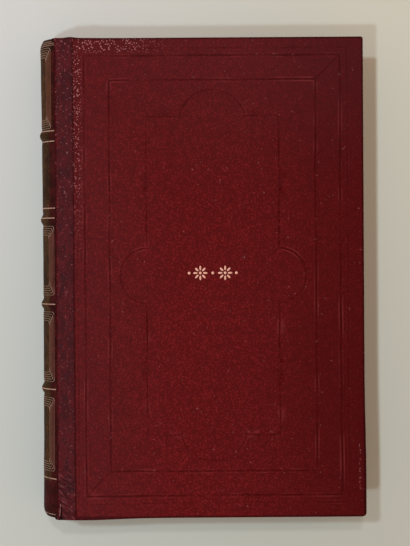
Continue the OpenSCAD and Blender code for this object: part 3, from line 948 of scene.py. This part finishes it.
rows = []
for line, depth in stamped:
    loop = line(0.0)
    rows += [(a, b, depth) for a, b in zip(loop, loop[1:] + loop[:1])]
rows += [(a, b, depth) for (a, b), depth in zip(mitres, MITRE_DEPTHS)]
starts = np.array([row[0] for row in rows])
ways = np.array([row[1] for row in rows]) - starts
depths = np.array([row[2] for row in rows])
print("stretches of stamped line", len(rows))


def line_distances(x, y):
    """Distance of a point from each stretch of stamped line."""
    t = ((x - starts[:, 0]) * ways[:, 0] + (y - starts[:, 1]) * ways[:, 1]) / (ways ** 2).sum(1)
    t = np.clip(t, 0, 1)
    return np.hypot(x - starts[:, 0] - t * ways[:, 0], y - starts[:, 1] - t * ways[:, 1])


def stamped_height(points):
    """Height above the plain cloth at each x, y, and -1 in a furrow to 1 on its rim."""
    heights, relief = [], []
    for x, y in points:
        d = line_distances(x, y)
        uneven = max(0.35, 0.8 + 0.7 * wander(x, y, 18 * MM, 2.2))
        furrow = (depths * np.exp(-(d / FURROW_HALF) ** 2 * 2.2)).max() * uneven
        lip = (depths * np.exp(-((d - 0.85 * MM) / (0.3 * MM)) ** 2)).max() * uneven
        blister = bell(x, BLISTER[0], 1.3 * MM) * bell(y, BLISTER[1], 6 * MM)
        ripple = 0.035 * MM * wander(x, y, 7 * MM, 5.5) + 0.06 * MM * wander(x, y, 30 * MM, 8.8)
        heights.append(-FURROW * furrow + LIP * lip + 0.35 * MM * blister + ripple)
        # Only some rims get the pale mark, partly wear and partly a painted highlight.
        rim_wear_and_highlight = unit(0.4 + 1.3 * wander(x, y, 10 * MM, 9.9))
        relief.append(max(-1.0, lip * rim_wear_and_highlight - furrow))
    return heights, relief


# %% [markdown]
# The edge of the cover is a series of rings: along three sides of the board, over the outer round,
# down the edge, over the inner round and in behind the board. All rings have the same number of
# points, so they join into quads, and the innermost one is the border of the triangulated top.

# %% Cloth side: rings around the board's edge
EDGE_R = 1.0 * MM
CORNER_HEAD = 1.1 * MM
CORNER_TAIL = 2.1 * MM
TURNED_IN = 15 * MM
CLOTH = 0.5 * MM
END_STEPS, FORE_STEPS = 44, 72


def out_of_true(x, y):
    """How far the outline strays: a sagging spine corner, a lump over the leather, a bent fore-edge."""
    by_end = unit((abs(y) - head_y + 14 * MM) / (12 * MM))
    if y > 0:
        dy = 0.22 * MM * bell(x, -62 * MM, 14 * MM) + 0.4 * MM * bell(x, -61.5 * MM, 2.5 * MM)
    else:
        dy = -0.9 * MM * bell(x, -56 * MM, 20 * MM) - 0.15 * MM
    low = unit((-y - 45 * MM) / (50 * MM))
    by_fore = unit((x - fore_x + 14 * MM) / (12 * MM))
    return 0.6 * MM * by_fore * low ** 2 * (3 - 2 * low), dy * by_end


def edge_ring(inset, z):
    """An open ring from the tail edge around the fore-edge to the head edge."""
    low, up = max(CORNER_TAIL - inset, 0.12 * MM), max(CORNER_HEAD - inset, 0.12 * MM)
    x1, y1 = fore_x - inset, head_y - inset
    quarter = np.linspace(0, math.pi / 2, 8)
    ring = [(cloth_x + (x1 - low - cloth_x) * k / END_STEPS, -y1) for k in range(END_STEPS)]
    ring += [(x1 - low + low * math.sin(a), -y1 + low - low * math.cos(a)) for a in quarter]
    ring += [(x1, -y1 + low + (2 * y1 - low - up) * k / FORE_STEPS) for k in range(1, FORE_STEPS)]
    ring += [(x1 - up + up * math.cos(a), y1 - up + up * math.sin(a)) for a in quarter]
    ring += [(cloth_x + (x1 - up - cloth_x) * k / END_STEPS, y1) for k in reversed(range(END_STEPS))]
    return [(x, y, z) for x, y in ring]


def wrap_profile():
    """Inset and height of each ring, from the top's border to the end of the turn-in."""
    top, under = cover_top, cover_under
    quarter = [math.pi / 2 * k / 5 for k in range(6)]
    over = [(EDGE_R * (1 - math.sin(a)), top - EDGE_R * (1 - math.cos(a))) for a in quarter]
    below = [(EDGE_R * (1 - math.cos(a)), under + EDGE_R * (1 - math.sin(a))) for a in quarter]
    inward = [(d, under) for d in (2.5 * MM, 4.5 * MM, 9 * MM, TURNED_IN)]
    return over + below + inward


def cloth_drawing(outline):
    """All points of the flat drawing, with the edges that have to stay between them."""
    flat, edges = list(outline), []
    for line, _ in stamped:
        for d in ACROSS:
            loop = line(d * MM)
            edges += [(len(flat) + k, len(flat) + (k + 1) % len(loop)) for k in range(len(loop))]
            flat += loop
    for a, b in mitres:
        way = (Vector(b) - Vector(a)).normalized()
        side = Vector((-way.y, way.x))
        for d in ACROSS:
            ends = Vector(a) + way * 2.2 * MM + side * d * MM, Vector(b) - way * 2.2 * MM + side * d * MM
            run = split_run(*ends, 1.5 * MM) + [tuple(ends[1])]
            edges += [(len(flat) + k, len(flat) + k + 1) for k in range(len(run) - 1)]
            flat += run
    grid = [(x, y) for x in np.arange(cloth_x + 2.5 * MM, fore_x - 2.5 * MM, 3.1 * MM)
            for y in np.arange(-head_y + 2.5 * MM, head_y - 2.5 * MM, 3.1 * MM)]
    return flat + [p for p in grid if line_distances(*p).min() > 1.9 * MM], edges


def cloth_side(name):
    rings = [edge_ring(inset, z) for inset, z in wrap_profile()]
    border = rings[0]
    left = [(cloth_x + 0.12 * MM * (wander(0.0, y, 9 * MM, 3.7) - 1), y)
            for _, y in split_run(border[-1][:2], border[0][:2])][1:]
    outline = [p[:2] for p in border] + left
    flat, edges = cloth_drawing(outline)
    scaled = [Vector((x / MM, y / MM)) for x, y in flat]
    found = delaunay_2d_cdt(scaled, edges, [list(range(len(outline)))], 1, 1e-5)
    top_xy = [(p.x * MM, p.y * MM) for p in found[0]]

    heights, relief = stamped_height(top_xy)
    points = []
    for (x, y), h in zip(top_xy, heights):
        rim = min(fore_x - x, head_y - y, head_y + y) - EDGE_R
        inside = max(0.0, min(1.0, rim / (1.2 * MM), (x - cloth_x) / MM))
        astray = 0.3 * MM * inside
        points.append((x + astray * wander(x, y, 16 * MM, 4.4), y + astray * wander(x, y, 16 * MM, 6.6),
                       cover_top + h * inside))
    faces = [tuple(face) for face in found[2]] + grid_faces(len(rings), len(border), start=len(points))
    points += [p for ring in rings for p in ring]
    strays = [out_of_true(x, y) for x, y, z in points]
    points = [(x + dx, y + dy, z) for (x, y, z), (dx, dy) in zip(points, strays)]
    obj = mesh_piece(name, points, faces, cloth_finish)
    set_values(obj, RELIEF, relief + [0.0] * (len(points) - len(relief)))
    clean(obj, merge=0.03 * MM)
    return thickened(facing_up(obj), CLOTH)


front_cloth = cloth_side("front_cloth_side")
back_cloth = mirrored(front_cloth, "back_cloth_side")
for side, piece in (("front", front_cloth), ("back", back_cloth)):
    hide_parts(f"{side}_cloth")
    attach(piece, f"{side}_cover")
print("cloth side", len(front_cloth.data.polygons), "faces")

# %% [markdown]
# The leather over a joint is part of the spine's skin on the real book. It leaves the spine, dips into
# the crease and climbs onto the board. One piece therefore crosses the joint. Its section is a line of
# points from spine to cloth, and each of them is carried along the book's height, over the head and
# tail edges and in behind.

# %% Joint skin: section across the joint
JOINT_LEATHER = 0.55 * MM
SPLIT_AT = 1.65
SPLIT_L = 9 * MM
# Distance from the joint crease, height from the cover's top, and depth of the wrap at the ends, in mm.
JOINT_SECTION = [
    (-0.9, -1.75, 1.0), (-0.6, -1.5, 1.0), (-0.35, -1.25, 1.0), (-0.15, -1.1, 1.0), (0.0, -0.98, 1.0),
    (0.15, -0.82, 1.0), (0.3, -0.6, 1.0), (0.5, -0.35, 1.0), (0.75, -0.17, 1.0),
    (1.0, -0.07, 1.25), (1.3, -0.03, 1.3), (SPLIT_AT, 0.0, 1.4), (2.0, 0.0, 2.2), (2.3, 0.0, 3.0),
    (2.6, 0.0, 3.2),
]


def joint_columns():
    """The section's points, then even steps to the cloth."""
    columns = [(joint_x + x * MM, z * MM, drop * MM) for x, z, drop in JOINT_SECTION]
    rest = np.linspace(columns[-1][0], cloth_x + 0.25 * MM, 15)[1:]
    return columns + [(x, 0.0, 3.2 * MM) for x in rest]


def wrap_path(drop):
    """Along the book: from the turn-in at the tail, over the top, to the turn-in at the head."""
    r = min(EDGE_R, drop * 0.45)
    depth = TURNED_IN * (0.25 if drop < 1.2 * MM else 1.0)
    quarter = [math.pi / 2 * k / 4 for k in range(5)]
    inward = [(head_y - d, -drop) for d in (depth, depth * 0.6, depth * 0.3)]
    below = [(head_y - r * (1 - math.sin(a)), -drop + r * (1 - math.cos(a))) for a in quarter]
    over = [(head_y - r * (1 - math.cos(a)), -r * (1 - math.sin(a))) for a in quarter]
    end = inward + below + over
    tail = [(-y, z) for y, z in end]
    wrinkled = -head_y + 32 * MM
    rows = [*np.linspace(-head_y + r, wrinkled, 70), *np.linspace(wrinkled, head_y - r, 170)[1:]]
    top = [(y, 0.0) for y in rows[1:-1]]
    return tail + top + [(y, z) for y, z in reversed(end)]


print("columns across the joint", len(joint_columns()))

# %% [markdown]
# Age has left its marks here: the leather is cockled, wrinkled on the slant near the tail, and torn
# through for nine millimetres where the joint meets the tail edge. The wrinkles are one noise, drawn
# out along the slant. The tear is two columns of points that lie on each other above it and part
# below it; only the outer layer parts, so the turned-in leather shows at its bottom. A value of the
# points gives painted shade in the wrinkles, the crease and the inside of the tear, a painted highlight
# with some wear on the wrinkles' ridges, and the torn edge its paleness.

# %% Joint skin: wear and mesh
SLANT = math.radians(-31)


def joint_wear(x, y):
    """Height of the cockles and wrinkles, and how far the point lies in a wrinkle (-1) or on a ridge (1)."""
    cockle = 0.09 * MM * wander(x, y, 5 * MM, 3.3) + 0.08 * MM * wander(x, y, 1.8 * MM, 6.1)
    near_tail = unit((-head_y + 26 * MM - y) / (8 * MM))
    across = x * math.sin(SLANT) - y * math.cos(SLANT)
    along = x * math.cos(SLANT) + y * math.sin(SLANT)
    wrinkle = near_tail * 2.4 * wander(across, along / 5, 0.8 * MM, 1.9)
    return cockle + 0.12 * MM * wrinkle, max(-0.6, min(0.55, wrinkle))


def tear(y, from_split, sign, is_outer):
    """How far an edge of the tear has moved aside and curled up, and its mark: pale on the torn edge,
    painted shade inside the tear.
    """
    past = unit((-head_y + SPLIT_L - y) / SPLIT_L)
    if not past or from_split >= 2 * MM:
        return 0.0, 0.0, 0.0
    aside = curl = 0.0
    if is_outer:
        ragged = 0.3 * MM * wander(y, sign, 0.9 * MM, 8.1) * min(1.0, past * 3)
        aside = sign * (0.75 * MM * past ** 1.3 + ragged) * (1 - from_split / (2 * MM))
        curl = 0.3 * MM * min(1.0, past * 3) * max(0.0, 1 - from_split / (0.9 * MM)) * (sign < 0)
    is_pale = is_outer and sign < 0 and 0.15 < past < 0.8
    return aside, curl, (1.8 if is_pale else -2.0) * (from_split < 0.3 * MM)


def joint_skin(name, torn):
    columns = joint_columns()
    split = next(i for i, row in enumerate(JOINT_SECTION) if row[0] == SPLIT_AT)
    points, faces, relief = [], [], []
    for part, sign in ((columns[:split + 1], -1), (columns[split:], 1)):
        faces += grid_faces(len(part), len(wrap_path(part[0][2])), start=len(points))
        for x, z, drop in part:
            on_board = unit((x - joint_x + 0.2 * MM) / (1.2 * MM))
            before_cloth = unit((cloth_x - x) / (0.6 * MM))
            in_crease = unit((0.5 * MM - (x - joint_x)) / (0.35 * MM))
            height = cover_top + z - 0.07 * MM * (1 - before_cloth)
            for y, dz in wrap_path(drop):
                aside, curl, edge = (tear(y, abs(x - columns[split][0]), sign, dz > -0.6 * drop) if torn
                                     else (0.0, 0.0, 0.0))
                wear, wrinkled = joint_wear(x, y)
                shown = on_board * (dz > -EDGE_R * 0.5)
                # The relief value: painted shade in the wrinkles, the crease and the tear, a painted
                # highlight with some wear on the ridges.
                relief.append(shown * wrinkled + edge - 0.8 * in_crease)
                points.append((x + aside, y + out_of_true(x, y)[1],
                               height + dz + shown * before_cloth * wear + curl))
    obj = mesh_piece(name, points, faces, morocco)
    set_values(obj, RELIEF, relief)
    return thickened(facing_up(clean(obj)), JOINT_LEATHER)


front_joint = joint_skin("front_joint_skin", torn=True)
back_joint = mirrored(joint_skin("joint_skin_pattern", torn=False), "back_joint_skin")
bpy.data.objects.remove(bpy.data.objects["joint_skin_pattern"])
for side, piece, z in (("front", front_joint, cover_top), ("back", back_joint, 0.0)):
    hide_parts(f"{side}_joint_leather")
    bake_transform(piece)
print("joint skin", len(front_joint.data.polygons), "faces")

# %% [markdown]
# An endpaper is one folded sheet. Half of it is pasted inside the cover, the other half is the first
# leaf, and the fold lies in the joint. When the cover opens, the fold is pulled out into the hinge. One
# sheet therefore crosses this joint as well, its two halves lying face to face.

# %% Endpapers
PAPER = 0.22 * MM


def endpaper(name):
    """The front endpaper: pasted half, fold, free half."""
    paste_z = paste_hi[2] - PAPER / 2
    free_z = leaf_lo[2] + PAPER / 2
    fold_r = (paste_z - free_z) / 2
    fold_x = board_x + 0.25 * MM
    pasted = [(x, paste_z, paste_hi[1]) for x in np.linspace(paste_hi[0], fold_x, 30)]
    fold = [(fold_x - fold_r * math.sin(a), free_z + fold_r + fold_r * math.cos(a),
             (paste_hi[1] + leaf_hi[1]) / 2) for a in np.linspace(0, math.pi, 15)[1:-1]]
    free = [(x, free_z, leaf_hi[1]) for x in np.linspace(fold_x, leaf_hi[0], 30)]
    section = pasted + fold + free
    rows = 40
    points = [(x, -half + 2 * half * k / (rows - 1), z) for x, z, half in section for k in range(rows)]
    obj = clean(mesh_piece(name, points, grid_faces(len(section), rows), endpaper_stock))
    return thickened(obj, PAPER, offset=0)


front_paper = endpaper("front_endpaper")
back_paper = mirrored(front_paper, "back_endpaper")
gap = (leaf_hi[2], paste_lo[2])
for side, piece, (free_z, paste_z) in (("front", front_paper, gap),
                                       ("back", back_paper, [2 * mid_z - z for z in gap])):
    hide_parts(f"{side}_pastedown", f"{side}_flyleaf")
    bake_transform(piece)
print("endpaper", len(front_paper.data.polygons), "faces")

# %% [markdown]
# The leaves are one block. Thirty-odd gatherings were folded, sewn and trimmed together, then the
# back was hammered round, which also hollowed the fore-edge. The block is a stack of thin rows up the
# book's thickness. Each gathering swells by a hair in its middle, which gives the cut edges their
# faint ribs, and the material rules the single leaves between them.

# %% Leaf block
BLOCK_HALF = leaf_lo[2] - mid_z
GATHERINGS = 32
ROWS_IN_EACH = 6
DEPTH_STEPS, LENGTH_STEPS = 12, 16
LINING_DEPTH = LEATHER + 1.2 * MM + 0.4 * MM
block_r = back_r - LINING_DEPTH


def block_rows():
    """Height, spine x, fore-edge x and half length of each row of the stack."""
    fore_centre = leaf_hi[0] + math.sqrt(block_r ** 2 - BLOCK_HALF ** 2)
    shoulder = block_hi[2] - mid_z
    rows = []
    for k in range(GATHERINGS * ROWS_IN_EACH + 1):
        z = -BLOCK_HALF + 2 * BLOCK_HALF * k / (GATHERINGS * ROWS_IN_EACH)
        swell = abs(math.sin(math.pi * k / ROWS_IN_EACH)) ** 0.5
        rib = 0.12 * MM * (swell - 1) + 0.05 * MM * wander(k, 0.0, 1.7, 0.4)
        rows.append((z, arc_x - math.sqrt(block_r ** 2 - z * z),
                     fore_centre - math.sqrt(block_r ** 2 - z * z) + rib, leaf_hi[1] + rib * 0.6))
    face = board_x - 0.3 * MM
    upper = []
    for k in range(5):
        z = BLOCK_HALF + (shoulder - BLOCK_HALF) * k / 4
        spine_x = arc_x - math.sqrt(block_r ** 2 - z * z)
        upper.append((z, spine_x, max(face - 0.04 * MM * k, spine_x + 0.02 * MM), leaf_hi[1]))
    lower = [(-z, a, b, y) for z, a, b, y in reversed(upper)]
    return lower + rows + upper


def leaf_block():
    points = []
    for z, x0, x1, y in block_rows():
        points += [(x0 + (x1 - x0) * k / DEPTH_STEPS, -y, mid_z + z) for k in range(DEPTH_STEPS)]
        points += [(x1, -y + 2 * y * k / LENGTH_STEPS, mid_z + z) for k in range(LENGTH_STEPS)]
        points += [(x1 + (x0 - x1) * k / DEPTH_STEPS, y, mid_z + z) for k in range(DEPTH_STEPS)]
        points += [(x0, y - 2 * y * k / LENGTH_STEPS, mid_z + z) for k in range(LENGTH_STEPS)]
    count = 2 * (DEPTH_STEPS + LENGTH_STEPS)
    rows = len(points) // count
    faces = grid_faces(rows, count, ring=True)
    faces += [tuple(reversed(range(count))), tuple(range((rows - 1) * count, rows * count))]
    obj = mesh_piece("leaf_block", points, faces, edge_finish, smooth=False)
    return clean(obj, merge=1e-7)


leaves = leaf_block()
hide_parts("text_block")
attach(leaves, "text_block")
print("leaf block", len(leaves.data.polygons), "faces")

# %% [markdown]
# Endbands. A worker winds silk of two colours around a core of cord, turn beside turn, along the
# curve of the leaves. Each turn is the same small loop, so Geometry Nodes set one loop on each point
# of an arc, every other one in the second colour.

# %% Endbands
def endband_tree():
    tree, given = new_tree("worked_endband", {
        "Band Radius": 23.3 * MM, "Half Angle": half_angle, "Roll Radius": 0.85 * MM,
        "Thread Radius": 0.25 * MM, "Turns": 60})
    begin = add(tree, "ShaderNodeMath", math.pi, given["Half Angle"], operation="SUBTRACT")[0]
    sweep = add(tree, "ShaderNodeMath", given["Half Angle"], 2.0, operation="MULTIPLY")[0]
    arc = add(tree, "GeometryNodeCurveArc", Resolution=64, Radius=given["Band Radius"], Start_Angle=begin,
              Sweep_Angle=sweep)[0]
    spots = add(tree, "GeometryNodeCurveToPoints", arc, Count=given["Turns"], mode="COUNT")
    circle, thread = [add(tree, "GeometryNodeCurvePrimitiveCircle", Resolution=steps, Radius=given[name])[0]
                      for steps, name in ((14, "Roll Radius"), (6, "Thread Radius"))]
    loop = add(tree, "GeometryNodeCurveToMesh", circle, Profile_Curve=thread)[0]
    index = add(tree, "GeometryNodeInputIndex")[0]
    odd = add(tree, "ShaderNodeMath", index, 2.0, operation="MODULO")[0]
    even = add(tree, "ShaderNodeMath", 1.0, odd, operation="SUBTRACT")[0]
    turns = []
    for chosen, material in ((odd, red_thread), (even, cream_thread)):
        loops = add(tree, "GeometryNodeInstanceOnPoints", spots["Points"], Selection=chosen, Instance=loop,
                    Rotation=spots["Rotation"])[0]
        turns.append(finished(tree, loops, material))
    add(tree, "NodeGroupOutput", add(tree, "GeometryNodeJoinGeometry", turns)[0])
    return tree


band_tree = endband_tree()


def worked_endband(name, node, y_sign):
    low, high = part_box(node)
    obj = mesh_piece(name, [(0, 0, 0)], [], red_thread)
    reach = math.asin((high[2] - mid_z) / block_r)
    run_tree(obj, band_tree, {"Band Radius": block_r - 1.1 * MM, "Half Angle": reach})
    y = (low[1] + high[1]) / 2 - 0.05 * MM * y_sign
    for vertex in obj.data.vertices:
        flat_x, flat_y, flat_z = vertex.co
        vertex.co = (arc_x + flat_x, y + flat_z * y_sign, mid_z + flat_y * y_sign)
    obj.data.shade_smooth()
    clean(obj, merge=1e-7)
    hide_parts(node)
    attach(obj, "text_block")
    return obj


head_band = worked_endband("head_endband_worked", "head_endband", 1)
worked_endband("tail_endband_worked", "tail_endband", -1)
print("endband", len(head_band.data.polygons), "faces")

# %% [markdown]
# The gilt ornament on the front cover. Small brass hand tools, a flower and a dot, are struck one
# after another. A flower is one petal turned around a middle, so a tree makes the row: petals on a
# ring of points, rings and dots where the row's points say.

# %% Gilt ornament on the cover
ORNAMENT = (5.6 * MM, 2.3 * MM)
FLOWERS = [-5.9, 5.9]
DOTS = [-11.2, 0.0, 11.2]
GOLD_RISE = 0.06 * MM


def ornament_tree():
    tree, given = new_tree("row_of_gilt_tools", {
        "Petals": 8, "Petal Length": 2.3 * MM, "Petal Width": 1.0 * MM, "Flower Radius": 2.35 * MM,
        "Dot Radius": 0.7 * MM})
    ring = add(tree, "GeometryNodeMeshCircle", Vertices=given["Petals"], Radius=given["Flower Radius"])[0]
    dome = add(tree, "GeometryNodeMeshUVSphere", Segments=16, Rings=8, Radius=0.5)[0]
    outwards = add(tree, "FunctionNodeAlignRotationToVector",
                   Vector=add(tree, "GeometryNodeInputPosition")[0], axis="X")[0]
    petal_size = add(tree, "ShaderNodeCombineXYZ", given["Petal Length"], given["Petal Width"],
                     2 * GOLD_RISE)[0]
    petals = add(tree, "GeometryNodeInstanceOnPoints", ring, Instance=dome, Rotation=outwards,
                 Scale=petal_size)[0]
    width = add(tree, "ShaderNodeMath", given["Dot Radius"], 2.0, operation="MULTIPLY")[0]
    dot_size = add(tree, "ShaderNodeCombineXYZ", width, width, 2 * GOLD_RISE)[0]
    dot = add(tree, "GeometryNodeTransform", dome, Scale=dot_size)[0]
    flower = add(tree, "GeometryNodeJoinGeometry", [petals, dot])[0]
    is_flower = add(tree, "GeometryNodeInputNamedAttribute", "flower", data_type="FLOAT")[0]
    is_dot = add(tree, "ShaderNodeMath", 1.0, is_flower, operation="SUBTRACT")[0]
    tools = [add(tree, "GeometryNodeInstanceOnPoints", given["Geometry"], Selection=chosen,
                 Instance=shape)[0] for shape, chosen in ((flower, is_flower), (dot, is_dot))]
    row = add(tree, "GeometryNodeJoinGeometry", tools)[0]
    add(tree, "NodeGroupOutput", finished(tree, row, cover_gold))
    return tree


def gilt_ornament():
    rows = [(x, 1.0) for x in FLOWERS] + [(x, 0.0) for x in DOTS]
    spots = [(ORNAMENT[0] + x * MM, ORNAMENT[1]) for x, f in rows]
    seat = [cover_top + h for h in stamped_height(spots)[0]]
    obj = mesh_piece("gilt_ornament", [(x, y, z) for (x, y), z in zip(spots, seat)], [], cover_gold)
    set_values(obj, "flower", [f for x, f in rows])
    run_tree(obj, ornament_tree(), {})
    obj.data.shade_smooth()
    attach(obj, "front_cover")
    return obj


ornament = gilt_ornament()
print("ornament", len(ornament.data.polygons), "faces")

# %% [markdown]
# The set is a pale surface under plain, fairly soft light; its colour is painted lighter towards the
# head and the left and warmer to the right, as painted light. The shadows in the photo tell where the
# light comes from: two windows on the left, one towards the head and one towards the tail, and a
# weaker one beyond the head. They stand far off, so that the shadows are as long as the book. A warm,
# even room light fills the rest. The levels are plain: a colour renders about as it is written.

# %% Floor, lamps and world
def plain_floor():
    material, tree, place = new_material("pale_surface")
    x, y, _ = add(tree, "ShaderNodeSeparateXYZ", place)
    # Lighter towards the head and the left, warmer to the right: painted light.
    across = add(tree, "ShaderNodeMapRange", x, -0.11, 0.09)[0]
    up = add(tree, "ShaderNodeMapRange", y, -0.13, 0.13)[0]
    near, far = [add(tree, "ShaderNodeMix", across, A=left, B=right, data_type="RGBA")[2]
                 for left, right in (("#bfc0b9", "#b5b1a4"), ("#d0cecb", "#c9c2b2"))]
    paint(tree, near, [(up, far)], Roughness=0.9, Specular_IOR_Level=0.1)
    floor = mesh_piece("floor", [(-2, -2, -1e-4), (2, -2, -1e-4), (2, 2, -1e-4), (-2, 2, -1e-4)],
                       [(0, 1, 2, 3)], material)


def window_lamp(name, place, power, colour):
    data = bpy.data.lights.new(name, "AREA")
    data.energy, data.size = power, 0.3
    data.color = linear(colour)[:3]
    lamp = bpy.data.objects.new(name, data)
    bpy.context.scene.collection.objects.link(lamp)
    lamp.location = place
    lamp.rotation_euler = (-Vector(place)).to_track_quat("-Z", "Y").to_euler()


plain_floor()
window_lamp("head_window", (-1.51, 1.17, 6.0), 134.0, "#d6f0ff")
window_lamp("tail_window", (-1.51, -1.48, 6.0), 113.0, "#d6f0ff")
window_lamp("far_window", (-0.1, 1.8, 6.0), 54.0, "#ffffff")
world = bpy.data.worlds.new("room")
world.use_nodes = True
room_light = world.node_tree.nodes["Background"]
room_light.inputs["Color"].default_value = linear("#ffe0c9")
room_light.inputs["Strength"].default_value = 0.53
bpy.context.scene.world = world
print("lamps", len(bpy.data.lights))

# %% [markdown]
# The camera hangs almost straight above the book. Its place was fitted to the outline in the photo:
# the cover alone gives the scale, and the spine, which lies deeper, gives the distance and a tilt of
# less than a degree. The book lies turned by four tenths of a degree, so the camera is rolled the
# other way. The frame's long side then gives the focal length.

# %% Camera
PIXEL = 0.4745 * MM
VIEW_DISTANCE = 0.915
AIM = Vector((1.9 * MM, 2.3 * MM, cover_top))
TURN = [math.radians(angle) for angle in (-0.82, -0.2, -0.39)]
camera_data = bpy.data.cameras.new("camera")
camera = bpy.data.objects.new("camera", camera_data)
bpy.context.scene.collection.objects.link(camera)
camera.rotation_euler = TURN
camera.location = AIM + camera.rotation_euler.to_matrix() @ Vector((0, 0, VIEW_DISTANCE))
camera_data.sensor_width = 36
camera_data.lens = 36 * VIEW_DISTANCE / (PHOTO_SIZE[1] * PIXEL)
camera_data.clip_start = 0.05
bpy.context.scene.camera = camera
bpy.context.scene.view_settings.view_transform = "Standard"
print("lens", round(camera_data.lens, 1), "mm")
